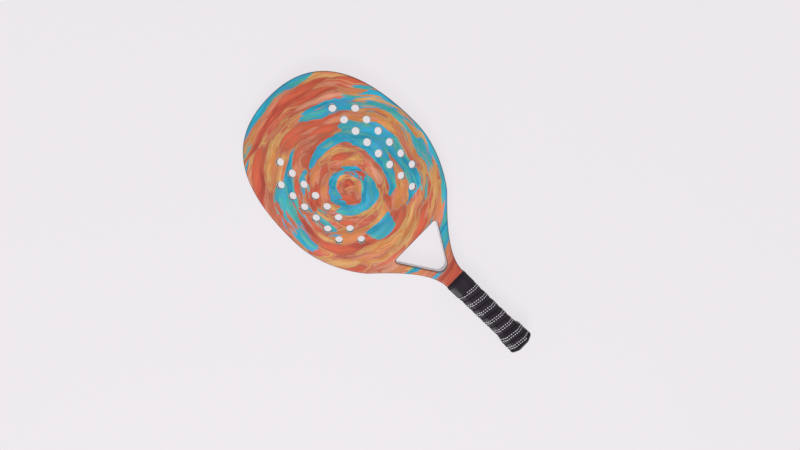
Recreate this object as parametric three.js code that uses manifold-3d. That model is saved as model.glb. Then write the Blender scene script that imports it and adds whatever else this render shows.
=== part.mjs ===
// A beach tennis racket, taken apart into the pieces it is built from.
//
// The racket lies on its back: X runs across it, +Y points from the handle to the tip of the head,
// +Z is the way the printed front face looks. A level along the racket is a distance from the
// tip of the head. Lengths are in millimetres.
import * as THREE from 'three';
import Module from 'manifold-3d';

const wasm = await Module();
wasm.setup();

// Whole racket
const overallLength = 480;
const headWidth = 224;
const headThickness = 22;
const clearance = 0.3;
const overrun = 1;

// Outline of the printed body, from the tip of the head to the end of the neck
const bodyLength = 341.5;
const neckStep = 0.2;
const shoulderSteps = 16;
const hipSteps = 7;
const armSteps = 10;
const tipPullAcrossShare = 0.53;
const shoulderPullAlongShare = 0.087;
const widestAlongShare = 0.457;
const hipPullAlongShare = 0.603;
const lowerPullAcrossShare = 0.712;
const lowerPullAlongShare = 0.725;
const turnAcrossShare = 0.675;
const turnAlongShare = 0.737;
const armPullAcrossShare = 0.378;
const armPullAlongShare = 0.832;
const neckPullAlongShare = 0.922;

// Face laminates, which wrap round the edge of the frame
const faceThickness = 0.8;
const edgeRadius = 3;
const edgeSteps = 3;
const lipHeight = 4;

// Frame tube and the bridge that closes the head
const frameWidth = 11;
const frameWall = 1.2;
const flankWall = 2.6;
const tubeCeiling = 2;
const bridgeWidth = 12;

// Open throat: a triangle with rounded corners, placed on the outline by shares
const throatAcrossShare = 0.366;
const throatTopAlongShare = 0.777;
const throatFootAlongShare = 0.9716;
const throatCornerRadius = 3.5;
const throatEndRadius = 11;
const throatArcSteps = 6;

// Block at the foot of the throat, and the two legs of the frame in the handle
const boreMouth = 1.4;
const neckEndWall = 1.5;
const legGap = 9;
const legWall = 1.2;
const knotRoom = 12;

// Holes through the head
const holeDiameter = 10.5;
const holePitch = 20.9;
const holeSides = 12;
const holeBankAlongShare = 0.41;
const holeRowFromAxis = 48.8;
const innerRowCount = 8;
const outerRowCount = 6;

// Handle shells under the grip
const shellWall = 1.6;
const shellEndFromButt = 40;

// Grip tape, wound from the butt to the collar
const gripWidth = 31.6;
const gripBevel = 7;
const tapeThickness = 2;
const tapeEdgeThickness = 1.2;
const tapeSeam = 0.6;
const tapeTip = 2.5;
const tapeCrownShare = 0.3;
const turnAdvance = 17.6;
const buttTurnAdvance = 14;
const slowTurns = 3;
const stepsPerSide = 3;
const firstStitchFromButt = 12.4;

// Flare of the handle towards the butt
const flareFromSkirt = 3.2;
const flareLength = 13;
const flareRise = 2.9;
const flareSteps = 4;

// Rubber collar over the end of the tape
const collarLength = 22.4;
const collarStep = 0.4;
const collarNose = 3.6;
const collarNoseDrop = 2;
const beadFromNose = 5;
const beadLength = 1.6;
const beadRise = 0.4;

// Butt cap
const capRoundDepth = 8.5;
const capLipRise = 0.1;
const capEndWall = 5;
const capRoundSteps = 4;
const capRoundTurnShare = 0.78;
const cordHoleDiameter = 5;
const cordHoleSides = 16;

// Staples that hold the cap on
const stapleFromSkirt = 1.9;
const stapleWidth = 6.4;
const stapleLeg = 7;
const stapleWire = 1.1;
const stapleFlat = 0.7;

// Values that follow from the ones above
const bodyHalf = headThickness / 2;
const innerHalf = bodyHalf - faceThickness;
const flankHalf = bodyHalf - lipHeight;
const bevelShrink = 2 - Math.SQRT2;
const coreInset = tapeThickness + clearance;
const shellInset = coreInset + shellWall;
const legInset = shellInset + clearance;
const gripHalfWidth = gripWidth / 2;
const gripHalfHeight = innerHalf + legInset;
const neckHalfWidth = gripHalfWidth - neckStep;
const blockHalfWidth = gripHalfWidth - legInset - legWall - boreMouth - frameWall - clearance;
const holeBankMiddle = holeBankAlongShare * bodyLength;
const throatTop = throatTopAlongShare * bodyLength;
const throatFoot = throatFootAlongShare * bodyLength;
const throatHalfWidth = throatAcrossShare * headWidth / 2;
const shellEnd = overallLength - shellEndFromButt;
const legEnd = overallLength - capEndWall - clearance;
const skirtEdge = shellEnd + clearance;
const flareStart = skirtEdge + flareFromSkirt;
const stapleLevel = skirtEdge + stapleFromSkirt;
const capLip = overallLength - capRoundDepth;
const firstStitch = overallLength - firstStitchFromButt;
const restHeight = gripHalfHeight + flareRise + capLipRise;
const alongY = (fromTip) => overallLength / 2 - fromTip;

const finish = (color, roughness, metalness = 0) => new THREE.MeshStandardMaterial({
  color, roughness, metalness, flatShading: true,
});
const printedLacquer = finish(0xc86a4a, 0.35);
const whiteLacquer = finish(0xe8e4e2, 0.4);
const softFoam = finish(0xd9d4cc, 0.9);
const hardFoam = finish(0xcdbf9a, 0.8);
const shellPlastic = finish(0x3a3a3e, 0.6);
const gripLeather = finish(0x2e2a30, 0.65);
const collarRubber = finish(0x1c1c20, 0.75);
const capPlastic = finish(0x26242a, 0.5);
const steelWire = finish(0xb4b7bb, 0.35, 0.9);

function closedSolid(positions, index) {
  return new wasm.Manifold(new wasm.Mesh({
    numProp: 3,
    vertProperties: new Float32Array(positions),
    triVerts: new Uint32Array(index),
  }));
}

// A solid through a stack of rings. Each ring is { level, points } with the same number of
// points, anticlockwise, and place turns a point and its level into a place in space.
function loft(rings, place) {
  const count = rings[0].points.length;
  const positions = [];
  for (const { level, points } of rings) {
    for (const point of points) positions.push(...place(point, level));
  }
  const index = [];
  for (let ring = 0; ring + 1 < rings.length; ring++) {
    for (let i = 0; i < count; i++) {
      const a = ring * count + i;
      const b = ring * count + (i + 1) % count;
      index.push(a, b, b + count, a, b + count, a + count);
    }
  }
  const lastRing = (rings.length - 1) * count;
  for (const [a, b, c] of THREE.ShapeUtils.triangulateShape(rings[0].points, [])) {
    index.push(a, c, b);
  }
  for (const [a, b, c] of THREE.ShapeUtils.triangulateShape(rings.at(-1).points, [])) {
    index.push(lastRing + a, lastRing + b, lastRing + c);
  }
  return closedSolid(positions, index);
}

// Rings seen from above and stacked upwards; rings seen from the head and stacked to the butt
const planLoft = (rings) => loft(rings, (point, level) => [point.x, point.y, level]);
const handleLoft = (rings) => loft(rings, (point, level) => [point.x, alongY(level), point.y]);

// An upright prism over a plan outline, and a straight bar along the handle
const prism = (points, low, high) => planLoft([{ level: low, points }, { level: high, points }]);
const bar = (points, start, end) => handleLoft([{ level: start, points }, { level: end, points }]);

function rectangle(left, right, low, high) {
  return [
    new THREE.Vector2(left, low), new THREE.Vector2(right, low),
    new THREE.Vector2(right, high), new THREE.Vector2(left, high),
  ];
}

// An upright block across the racket, between two distances from the tip
function slab(halfWidth, start, end, halfHeight) {
  return bar(rectangle(-halfWidth, halfWidth, -halfHeight, halfHeight), start, end);
}

// The right-hand side of the body, from the tip to the neck, as three curves in
// (distance from the axis, distance from the tip)
function bodyCurves() {
  const halfWidth = headWidth / 2;
  const at = (x, share) => new THREE.Vector2(x, share * bodyLength);
  const widest = at(halfWidth, widestAlongShare);
  const turn = at(turnAcrossShare * halfWidth, turnAlongShare);
  const neck = new THREE.Vector2(neckHalfWidth, bodyLength);
  return [
    new THREE.CubicBezierCurve(
      new THREE.Vector2(0, 0), at(tipPullAcrossShare * halfWidth, 0),
      at(halfWidth, shoulderPullAlongShare), widest),
    new THREE.CubicBezierCurve(
      widest, at(halfWidth, hipPullAlongShare),
      at(lowerPullAcrossShare * halfWidth, lowerPullAlongShare), turn),
    new THREE.CubicBezierCurve(
      turn, at(armPullAcrossShare * halfWidth, armPullAlongShare),
      at(neckHalfWidth, neckPullAlongShare), neck),
  ];
}

// The plan of the body, drawn in by an inset all round and cut off square at its end
function bodyOutline(inset, end = bodyLength) {
  const side = [];
  const curveSteps = [shoulderSteps, hipSteps, armSteps];
  bodyCurves().forEach((curve, number) => {
    const steps = curveSteps[number];
    for (let i = number === 0 ? 0 : 1; i <= steps; i++) {
      const point = curve.getPoint(i / steps);
      const tangent = curve.getTangent(i / steps);
      side.push(new THREE.Vector2(point.x - inset * tangent.y, point.y + inset * tangent.x));
    }
  });
  if (end > bodyLength) side.push(new THREE.Vector2(side.at(-1).x, end));
  const left = side.map((point) => new THREE.Vector2(-point.x, alongY(point.y)));
  const right = side.map((point) => new THREE.Vector2(point.x, alongY(point.y))).reverse();
  return [...left, ...right.slice(0, -1)];
}

// The plan of the throat opening, grown by a margin all round
function throatOutline(margin) {
  const corners = [
    { x: throatHalfWidth, level: throatTop, radius: throatCornerRadius },
    { x: -throatHalfWidth, level: throatTop, radius: throatCornerRadius },
    { x: 0, level: throatFoot, radius: throatEndRadius },
  ].map(({ x, level, radius }) => ({ at: new THREE.Vector2(x, alongY(level)), radius }));
  const points = [];
  corners.forEach(({ at, radius }, i) => {
    const before = corners.at(i - 1).at.clone().sub(at).normalize();
    const after = corners[(i + 1) % corners.length].at.clone().sub(at).normalize();
    const half = Math.acos(before.dot(after)) / 2;
    const middle = before.clone().add(after).normalize();
    const centre = at.clone().addScaledVector(middle, radius / Math.sin(half));
    const outward = middle.angle() + Math.PI;
    const sweep = Math.PI / 2 - half;
    for (let step = 0; step <= throatArcSteps; step++) {
      const angle = outward - sweep + 2 * sweep * step / throatArcSteps;
      const reach = radius + margin;
      points.push(new THREE.Vector2(
        centre.x + reach * Math.cos(angle), centre.y + reach * Math.sin(angle)));
    }
  });
  return points;
}

// Rings for a rounded upper edge: an inset that grows from start to start + radius
function roundedEdge(outline, start, radius, top) {
  const rings = [];
  for (let step = 0; step <= edgeSteps; step++) {
    const angle = step / edgeSteps * Math.PI / 2;
    rings.push({
      level: top - radius + radius * Math.sin(angle),
      points: outline(start + radius - radius * Math.cos(angle)),
    });
  }
  return rings;
}

// The room inside the two laminates: full width at the flank, drawn in under the lips
function innerStack(outline, beyond) {
  const lip = faceThickness + clearance;
  const chamfer = innerHalf - (bodyHalf - edgeRadius);
  const upper = [
    { level: flankHalf, points: outline(0) },
    { level: flankHalf, points: outline(lip) },
    { level: bodyHalf - edgeRadius, points: outline(lip) },
    { level: innerHalf, points: outline(lip + chamfer) },
  ];
  if (beyond > 0) upper.push({ level: innerHalf + beyond, points: upper.at(-1).points });
  const lower = upper.map(({ level, points }) => ({ level: -level, points })).reverse();
  return planLoft([...lower, ...upper]);
}

// Everything the laminates enclose, before it is shared out among the pieces
const bodyBlank = innerStack(bodyOutline, 0).subtract(innerStack(throatOutline, overrun));

function holeCentres() {
  const centres = [];
  [innerRowCount, outerRowCount].forEach((count, row) => {
    const fromAxis = holeRowFromAxis + row * holePitch;
    for (const side of [-1, 1]) {
      for (let i = 0; i < count; i++) {
        const level = holeBankMiddle + (i - (count - 1) / 2) * holePitch;
        centres.push(new THREE.Vector2(side * fromAxis, alongY(level)));
      }
    }
  });
  return centres;
}

function drillHoles(solid) {
  const radius = holeDiameter / 2;
  let drilled = solid;
  for (const centre of holeCentres()) {
    const circle = [];
    for (let i = 0; i < holeSides; i++) {
      const angle = (i + 1 / 2) / holeSides * 2 * Math.PI;
      circle.push(new THREE.Vector2(
        centre.x + radius * Math.cos(angle), centre.y + radius * Math.sin(angle)));
    }
    drilled = drilled.subtract(prism(circle, -bodyHalf - overrun, bodyHalf + overrun));
  }
  return drilled;
}

// One laminate: a shallow tray that covers a face and wraps round its edges
function faceLaminate(direction) {
  const innerRadius = edgeRadius - faceThickness;
  const longBody = (inset) => bodyOutline(inset, bodyLength + overrun);
  const outside = planLoft([
    { level: flankHalf, points: bodyOutline(0) },
    ...roundedEdge(bodyOutline, 0, edgeRadius, bodyHalf),
  ]);
  const opening = planLoft([
    { level: flankHalf - overrun, points: throatOutline(0) },
    ...roundedEdge(throatOutline, 0, edgeRadius, bodyHalf),
    { level: bodyHalf + overrun, points: throatOutline(edgeRadius) },
  ]);
  const room = planLoft([
    { level: flankHalf - overrun, points: longBody(faceThickness) },
    ...roundedEdge(longBody, faceThickness, innerRadius, innerHalf),
  ]);
  const throatWall = planLoft([
    { level: flankHalf - 2 * overrun, points: throatOutline(faceThickness) },
    ...roundedEdge(throatOutline, faceThickness, innerRadius, innerHalf),
    { level: innerHalf + overrun, points: throatOutline(edgeRadius) },
  ]);
  const face = drillHoles(outside.subtract(opening).subtract(room.subtract(throatWall)));
  return direction > 0 ? face : face.rotate([0, 180, 0]);
}

// The section of the handle, seen from the head: a rectangle with bevelled corners
function gripSection(inset) {
  const halfWidth = gripHalfWidth - inset;
  const halfHeight = gripHalfHeight - inset;
  const bevel = gripBevel - bevelShrink * inset;
  const quarter = [
    [halfWidth, halfHeight - bevel], [halfWidth - bevel, halfHeight],
  ];
  const flip = (sx, sz) => quarter.map(([x, z]) => new THREE.Vector2(sx * x, sz * z));
  return [
    ...flip(1, 1), ...flip(-1, 1).reverse(), ...flip(-1, -1), ...flip(1, -1).reverse(),
  ];
}

// How far the handle stands out of its straight section towards the butt
function flareAt(level) {
  return flareRise * THREE.MathUtils.smoothstep(level, flareStart, flareStart + flareLength);
}

// The section of the handle at a level, drawn in by an inset
const handleRing = (level, inset) => ({ level, points: gripSection(inset - flareAt(level)) });

// The levels at which a piece of the handle follows the flare, between its two ends
function flareLevels(start, end) {
  const levels = [start];
  for (let step = 0; step <= flareSteps; step++) {
    const level = flareStart + step / flareSteps * flareLength;
    if (level > levels.at(-1) && level < end) levels.push(level);
  }
  return [...levels, end];
}

function frameTube() {
  const headRoom = prism(bodyOutline(frameWidth), -bodyHalf, bodyHalf)
    .intersect(slab(headWidth, -overrun, throatTop + clearance, headThickness));
  const blockRoom = slab(
    blockHalfWidth + clearance, throatTop, bodyLength - neckEndWall, headThickness);
  const legRoom = slab(legGap / 2, throatTop, bodyLength + overrun, headThickness);
  const bore = boreOfFrame();
  let tube = bodyBlank.subtract(headRoom).subtract(blockRoom).subtract(legRoom).subtract(bore);
  const legSolid = bar(gripSection(legInset), bodyLength - neckEndWall, legEnd);
  const legBore = bar(gripSection(legInset + legWall),
    bodyLength - 2 * neckEndWall, legEnd + overrun);
  const between = slab(legGap / 2, 0, overallLength, headThickness);
  const betweenBores = slab(legGap / 2 + legWall, 0, overallLength, headThickness);
  const neckEnd = slab(
    blockHalfWidth + clearance + frameWall, 0, bodyLength, headThickness);
  tube = tube.add(legSolid.subtract(between))
    .subtract(legBore.subtract(betweenBores).subtract(neckEnd));
  return tube;
}

// The bore that runs round the head and down both arms
function boreOfFrame() {
  const halfHeight = innerHalf - tubeCeiling;
  return prism(bodyOutline(flankWall), -halfHeight, halfHeight)
    .subtract(prism(bodyOutline(frameWidth - frameWall), -bodyHalf, bodyHalf))
    .subtract(prism(throatOutline(flankWall), -bodyHalf, bodyHalf))
    .subtract(slab(blockHalfWidth + clearance + frameWall,
      throatTop, overallLength, headThickness))
    .subtract(slab(headWidth, bodyLength - neckEndWall, overallLength, headThickness));
}

function bridgeTube() {
  const start = throatTop - bridgeWidth;
  const outside = bodyBlank
    .intersect(prism(bodyOutline(frameWidth + clearance), -bodyHalf, bodyHalf))
    .intersect(slab(headWidth, start, throatTop, headThickness));
  const halfHeight = innerHalf - tubeCeiling;
  return outside.subtract(
    slab(headWidth, start + frameWall, throatTop - flankWall, halfHeight));
}

function foamCore() {
  const end = throatTop - bridgeWidth - clearance;
  return drillHoles(prism(bodyOutline(frameWidth + clearance), -innerHalf, innerHalf)
    .intersect(slab(headWidth, -overrun, end, headThickness)));
}

function throatBlock() {
  return bodyBlank.intersect(slab(
    blockHalfWidth, (throatTop + throatFoot) / 2, bodyLength - neckEndWall - clearance,
    headThickness));
}

function handleFoam() {
  const halfWidth = legGap / 2 - clearance;
  return slab(halfWidth, bodyLength - neckEndWall, legEnd - knotRoom, innerHalf)
    .subtract(staple(1, clearance)).subtract(staple(-1, clearance));
}

function handleShell(direction) {
  const start = bodyLength + clearance;
  const inside = bar(gripSection(shellInset), start - overrun, shellEnd + overrun);
  const half = bar(rectangle(-gripWidth, gripWidth,
    direction > 0 ? clearance / 2 : -gripWidth, direction > 0 ? gripWidth : -clearance / 2),
  start, shellEnd);
  return bar(gripSection(coreInset), start, shellEnd).subtract(inside).intersect(half);
}

// A wire staple across the skirt of the cap, grown by a margin where it leaves its room
function staple(direction, margin) {
  const skirtHalf = gripHalfHeight - coreInset;
  const crownHigh = skirtHalf + margin;
  const crownLow = skirtHalf - stapleFlat - margin;
  const legLow = skirtHalf - stapleLeg - margin;
  const thick = stapleWire / 2 + margin;
  const half = stapleWidth / 2 + margin;
  const legInner = stapleWidth / 2 - stapleWire - margin;
  const side = (x0, x1, z0, z1) => bar(
    direction > 0 ? rectangle(x0, x1, z0, z1) : rectangle(x0, x1, -z1, -z0),
    stapleLevel - thick, stapleLevel + thick);
  return side(-half, half, crownLow, crownHigh)
    .add(side(legInner, half, legLow, crownHigh))
    .add(side(-half, -legInner, legLow, crownHigh));
}

function buttCap() {
  const rings = flareLevels(skirtEdge, capLip).map((level) => handleRing(level, coreInset));
  const lip = gripSection(-flareRise - capLipRise);
  const lastTurn = capRoundTurnShare * Math.PI / 2;
  for (let step = 0; step <= capRoundSteps; step++) {
    const angle = step / capRoundSteps * lastTurn;
    const reach = capRoundDepth * Math.sin(angle) / Math.sin(lastTurn);
    rings.push({
      level: capLip + reach,
      points: lip.map((point) => point.clone().multiplyScalar(Math.cos(angle))),
    });
  }
  const socket = bar(gripSection(shellInset), skirtEdge - overrun, overallLength - capEndWall);
  const circle = [];
  for (let i = 0; i < cordHoleSides; i++) {
    const angle = i / cordHoleSides * 2 * Math.PI;
    circle.push(new THREE.Vector2(Math.cos(angle), Math.sin(angle))
      .multiplyScalar(cordHoleDiameter / 2));
  }
  const cordHole = bar(circle, legEnd, overallLength + overrun);
  return handleLoft(rings).subtract(socket).subtract(cordHole)
    .subtract(staple(1, clearance)).subtract(staple(-1, clearance));
}

function gripCollar() {
  const start = bodyLength + clearance;
  const end = start + collarLength;
  const ring = (offset, inset) => handleRing(start + offset, inset);
  const outside = handleLoft([
    ring(0, collarNoseDrop - collarStep),
    ring(collarNose, -collarStep),
    ring(beadFromNose, -collarStep),
    ring(beadFromNose, -collarStep - beadRise),
    ring(beadFromNose + beadLength, -collarStep - beadRise),
    ring(beadFromNose + beadLength, -collarStep),
    ring(collarLength, -collarStep),
  ]);
  return outside.subtract(handleLoft(flareLevels(start - overrun, end + overrun)
    .map((level) => handleRing(level, coreInset - clearance))));
}

// The section of the tape: a flat back and a crowned front. Shares run across its width, and
// depths are measured inwards from the crown.
const tapeSection = [
  { share: 0, depth: tapeThickness }, { share: 1 / 3, depth: tapeThickness },
  { share: 2 / 3, depth: tapeThickness }, { share: 1, depth: tapeThickness },
  { share: 1, depth: tapeThickness - tapeEdgeThickness }, { share: 1 - tapeCrownShare, depth: 0 },
  { share: tapeCrownShare, depth: 0 }, { share: 0, depth: tapeThickness - tapeEdgeThickness },
];

// Places along the winding. A station is a corner or a third of a side of the handle's section,
// and the tape climbs in step with the way it has gone round.
const stationsPerTurn = gripSection(0).length * stepsPerSide;

function sectionPoint(station, inset) {
  const corners = gripSection(inset);
  const corner = Math.floor(station / stepsPerSide) % corners.length;
  const part = (station % stepsPerSide) / stepsPerSide;
  return corners[corner].clone().lerp(corners[(corner + 1) % corners.length], part);
}

function turnShares() {
  const shares = [0];
  for (let station = 0; station < stationsPerTurn; station++) {
    const here = sectionPoint(station, 0);
    shares.push(shares.at(-1) + here.distanceTo(sectionPoint(station + 1, 0)));
  }
  return shares.map((length) => length / shares.at(-1));
}

// The way that the middle of the tape has climbed after a number of turns
function climbAfter(turns) {
  const gain = (turnAdvance - buttTurnAdvance) / (2 * slowTurns);
  const slow = THREE.MathUtils.clamp(turns, 0, slowTurns);
  return buttTurnAdvance * Math.min(turns, slowTurns) + gain * slow * slow
    + turnAdvance * Math.max(turns - slowTurns, 0);
}

function gripTape() {
  const shares = turnShares();
  const frontStation = stationsPerTurn / 4 - stepsPerSide / 2;
  const frontShare = (shares[Math.floor(frontStation)] + shares[Math.ceil(frontStation)]) / 2;
  const buttStop = capLip - clearance;
  const collarStop = bodyLength + 2 * clearance + collarLength;
  const rings = [];
  const mostTurns = 2 * Math.ceil((buttStop - collarStop) / turnAdvance);
  for (let station = -2 * stationsPerTurn; station < mostTurns * stationsPerTurn; station++) {
    const turn = Math.floor(station / stationsPerTurn);
    const place = station - turn * stationsPerTurn;
    const turns = turn + shares[place] - frontShare;
    const buttEdge = firstStitch - climbAfter(turns - 1 / 2) - tapeSeam / 2;
    const headEdge = firstStitch - climbAfter(turns + 1 / 2) + tapeSeam / 2;
    const low = Math.min(buttEdge, buttStop);
    const high = Math.max(headEdge, collarStop);
    if (low - high < tapeTip) continue;
    const ring = tapeSection.map(({ share, depth }) => {
      const level = THREE.MathUtils.lerp(low, high, share);
      const point = sectionPoint(place, depth - flareAt(level));
      return new THREE.Vector3(point.x, alongY(level), point.y);
    });
    rings.push(ring);
  }
  console.log(`grip tape: ${(rings.length / stationsPerTurn).toFixed(1)} turns, `
    + `least gap to itself ${leastGap(rings).toFixed(2)} mm`);
  return tubeSolid(rings);
}

// The least distance between points of the tape that lie at least half a turn apart
function leastGap(rings) {
  let least = Infinity;
  rings.forEach((ring, i) => {
    for (const other of rings.slice(i + stationsPerTurn / 2)) {
      for (const a of ring) {
        for (const b of other) least = Math.min(least, a.distanceTo(b));
      }
    }
  });
  return least;
}

// A closed tube through rings of places in space
function tubeSolid(rings) {
  const sides = rings[0].length;
  const index = [];
  for (let ring = 0; ring + 1 < rings.length; ring++) {
    for (let i = 0; i < sides; i++) {
      const a = ring * sides + i;
      const b = ring * sides + (i + 1) % sides;
      index.push(a, b + sides, b, a, a + sides, b + sides);
    }
  }
  const lastRing = (rings.length - 1) * sides;
  for (let i = 1; i + 1 < sides; i++) {
    index.push(0, i, i + 1, lastRing, lastRing + i + 1, lastRing + i);
  }
  return closedSolid(rings.flat().flatMap((point) => point.toArray()), index);
}

function meshOf(name, solid, material) {
  const { numProp, vertProperties, triVerts } = solid.getMesh();
  const geometry = new THREE.BufferGeometry();
  geometry.setAttribute('position', new THREE.BufferAttribute(vertProperties, numProp));
  geometry.setIndex(new THREE.BufferAttribute(triVerts, 1));
  const mesh = new THREE.Mesh(geometry, material);
  mesh.name = name;
  return mesh;
}

const racket = new THREE.Group();
racket.position.z = restHeight;
racket.add(
  meshOf('frame_tube', frameTube(), whiteLacquer),
  meshOf('bridge_tube', bridgeTube(), whiteLacquer),
  meshOf('throat_block', throatBlock(), whiteLacquer),
  meshOf('foam_core', foamCore(), softFoam),
  meshOf('front_face', faceLaminate(1), printedLacquer),
  meshOf('back_face', faceLaminate(-1), printedLacquer),
  meshOf('handle_foam', handleFoam(), hardFoam),
  meshOf('handle_shell_front', handleShell(1), shellPlastic),
  meshOf('handle_shell_back', handleShell(-1), shellPlastic),
  meshOf('grip_collar', gripCollar(), collarRubber),
  meshOf('grip_tape', gripTape(), gripLeather),
  meshOf('butt_cap', buttCap(), capPlastic),
  meshOf('cap_staple_front', staple(1, 0), steelWire),
  meshOf('cap_staple_back', staple(-1, 0), steelWire),
);

export default racket;
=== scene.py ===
"""A beach tennis racket, finished for its picture.

The racket lies on its back: X runs across it, +Y points from the handle to the tip of the head,
+Z is the way the printed front face looks. Lengths are in metres, written as millimetres times MM.
"""
import itertools
import math
from contextlib import contextmanager

import bpy
from mathutils import Matrix, Vector, noise


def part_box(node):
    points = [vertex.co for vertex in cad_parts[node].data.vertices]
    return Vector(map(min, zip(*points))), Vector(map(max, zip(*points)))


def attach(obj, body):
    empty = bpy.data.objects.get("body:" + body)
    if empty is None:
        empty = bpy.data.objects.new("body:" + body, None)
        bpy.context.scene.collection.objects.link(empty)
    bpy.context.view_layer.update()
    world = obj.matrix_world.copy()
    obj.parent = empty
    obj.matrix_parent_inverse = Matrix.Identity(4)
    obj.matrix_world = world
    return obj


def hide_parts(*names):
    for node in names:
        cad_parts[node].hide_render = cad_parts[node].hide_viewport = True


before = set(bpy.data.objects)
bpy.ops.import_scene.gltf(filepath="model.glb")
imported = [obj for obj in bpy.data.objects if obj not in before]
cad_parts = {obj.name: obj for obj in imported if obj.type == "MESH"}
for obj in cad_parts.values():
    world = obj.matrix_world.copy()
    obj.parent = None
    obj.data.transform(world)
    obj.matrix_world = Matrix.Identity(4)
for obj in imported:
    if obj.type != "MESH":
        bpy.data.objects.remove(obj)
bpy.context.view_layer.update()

MM = 0.001
NEAR = 0.02 * MM
MERGE_DISTANCE = 0.01 * MM
STRAIGHT = math.radians(0.05)

# How far a face's normal points along an axis: slanting, mostly along it, straight along it
SLANTING = 0.5
FACING = 0.9
SQUARE = 0.99

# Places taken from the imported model
FRONT_LOW, FRONT_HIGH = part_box("front_face")
BACK_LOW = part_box("back_face")[0]
CORE_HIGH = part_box("foam_core")[1]
COLLAR_LOW, COLLAR_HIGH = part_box("grip_collar")
TAPE_LOW, TAPE_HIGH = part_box("grip_tape")
CAP_LOW, CAP_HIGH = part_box("butt_cap")
BLOCK_LOW, BLOCK_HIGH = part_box("throat_block")
BRIDGE_LOW, BRIDGE_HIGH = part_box("bridge_tube")
TIP = FRONT_HIGH.y
NECK = FRONT_LOW.y
MIDDLE = (FRONT_HIGH.z + BACK_LOW.z) / 2
BODY_LENGTH = TIP - NECK
HEAD_HALF = FRONT_HIGH.x
BODY_HALF = FRONT_HIGH.z - MIDDLE
FLANK_HALF = FRONT_LOW.z - MIDDLE
CORE_HALF = CORE_HIGH.z - MIDDLE

# Heights between which a cutting tool goes right through
CUT_LOW = MIDDLE - BODY_HALF * 2
CUT_HIGH = MIDDLE + BODY_HALF * 2

# Outline of the body, as shares of its half width and of its length from the tip
TIP_PULL_SHARE = 0.53
SHOULDER_SHARE = 0.087
WIDEST_SHARE = 0.457
HIP_SHARE = 0.603
LOWER_SHARES = (0.712, 0.725)
TURN_SHARES = (0.675, 0.737)
ARM_SHARES = (0.378, 0.832)
NECK_SHARE = 0.922
NECK_HALF = 15.6 * MM
OUTLINE_STEPS = 44

# Laminates and frame
SHEET = 0.8 * MM
EDGE_RADIUS = 3 * MM
EDGE_SEGMENTS = 7
PARTING_CHAMFER = 0.22 * MM
LIP_ROOM = 1.1 * MM
LAND_CHAMFER = 2.2 * MM
FRAME_WIDTH = 11 * MM
CORE_GAP = 0.3 * MM
BRIDGE_REACH = 43 * MM
BRIDGE_FEET = 6 * MM
LEG_INNER = 4.5 * MM
LEG_OUTER = 11.6 * MM
LEG_BEVEL = 4 * MM
LEG_FROM_BUTT = 5.3 * MM

# Open throat
THROAT_WIDTH_SHARE = 0.366
THROAT_TOP_SHARE = 0.777
THROAT_FOOT_SHARE = 0.9716
THROAT_CORNER = 3.5 * MM
THROAT_END = 11 * MM
THROAT_STEPS = 12

# Holes through the head
HOLE_RADIUS = 5.25 * MM
HOLE_PITCH = 20.9 * MM
HOLE_ROW = 48.8 * MM
HOLE_COUNTS = (8, 6)
HOLE_BANK_SHARE = 0.41
HOLE_SIDES = 40
HOLE_RIM = 0.35 * MM
HOLE_FOAM_ROOM = 0.05 * MM

# Section of the handle: a rectangle with bevelled corners
GRIP_HALF_WIDTH = 15.8 * MM
GRIP_HALF_HEIGHT = 14.4 * MM
GRIP_BEVEL = 7 * MM
GRIP_CORNER = 2.6 * MM
CORNER_SEGMENTS = 5

# Flare of the handle, collar and cap
FLARE_START = TIP - 443.5 * MM
FLARE_LENGTH = 13 * MM
FLARE_RISE = 2.9 * MM
CAP_LIP_RISE = 0.1 * MM
CAP_LIP = CAP_LOW.y + 8.5 * MM
CAP_ROUND_TURN = math.radians(72)
CAP_STEPS = 9
CAP_WALL = 1.6 * MM
CAP_END_WALL = 5 * MM
CORD_HOLE = 2.5 * MM
CORD_HOLE_SIDES = 32
CORD_DRILL = 20 * MM
COLLAR_STEP = 0.4 * MM
COLLAR_NOSE = 3.6 * MM
COLLAR_NOSE_DROP = 2 * MM
COLLAR_WALL = 2 * MM
BEAD_FROM_NOSE = 5 * MM
BEAD_LENGTH = 1.6 * MM
BEAD_RISE = 0.4 * MM
SOFT_EDGE = 0.3 * MM

# Grip tape
TAPE_THICKNESS = 2 * MM
TAPE_CORE = 2.3 * MM
TAPE_CROWN = 0.95 * MM
CROWN_POWER = 2.4
TAPE_EDGE_ROLL = 0.5 * MM
TAPE_SEAM = 0.3 * MM
TAPE_TIP = 2.5 * MM
TURN_ADVANCE = 17.6 * MM
BUTT_TURN_ADVANCE = 14 * MM
SLOW_TURNS = 3
FIRST_TURN = -2
STATIONS_PER_TURN = 144
ACROSS_STEPS = 30
RIPPLE = 0.06 * MM
RIPPLE_LENGTH = 6 * MM
RIPPLES_PER_TURN = 9
RIPPLE_SEED = 3.1

# Its stitching, and the grooves that the thread pulls into the tape
FIRST_STITCH = TIP - 467.6 * MM
STITCH_ROWS = 1.6 * MM
STITCH_PITCH = 3.5 * MM
STITCH_LENGTH = 2.15 * MM
STITCH_WIDTH = 1.2 * MM
STITCH_SIDES = 8
STITCH_MIDDLE_SHARE = 0.6
STITCH_PIVOT_SHARE = 0.4
STITCH_SINK = 0.28 * MM
STITCH_LEAN = 0.12
SLOPE_STEP = 0.01
ROW_GROOVE = 0.16 * MM
ROW_GROOVE_WIDTH = 0.5 * MM
MIDDLE_GROOVE = 0.3 * MM
MIDDLE_GROOVE_WIDTH = 0.35 * MM

# Each step of a stitch's taper: reach as a share of its length, drop as a share of its width, size
STITCH_TAPER = ((0.13, 0.1, 0.85), (0.07, 0.3, 0.5))


# Modelling helpers

def deselect():
    bpy.ops.object.select_all(action="DESELECT")


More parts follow.
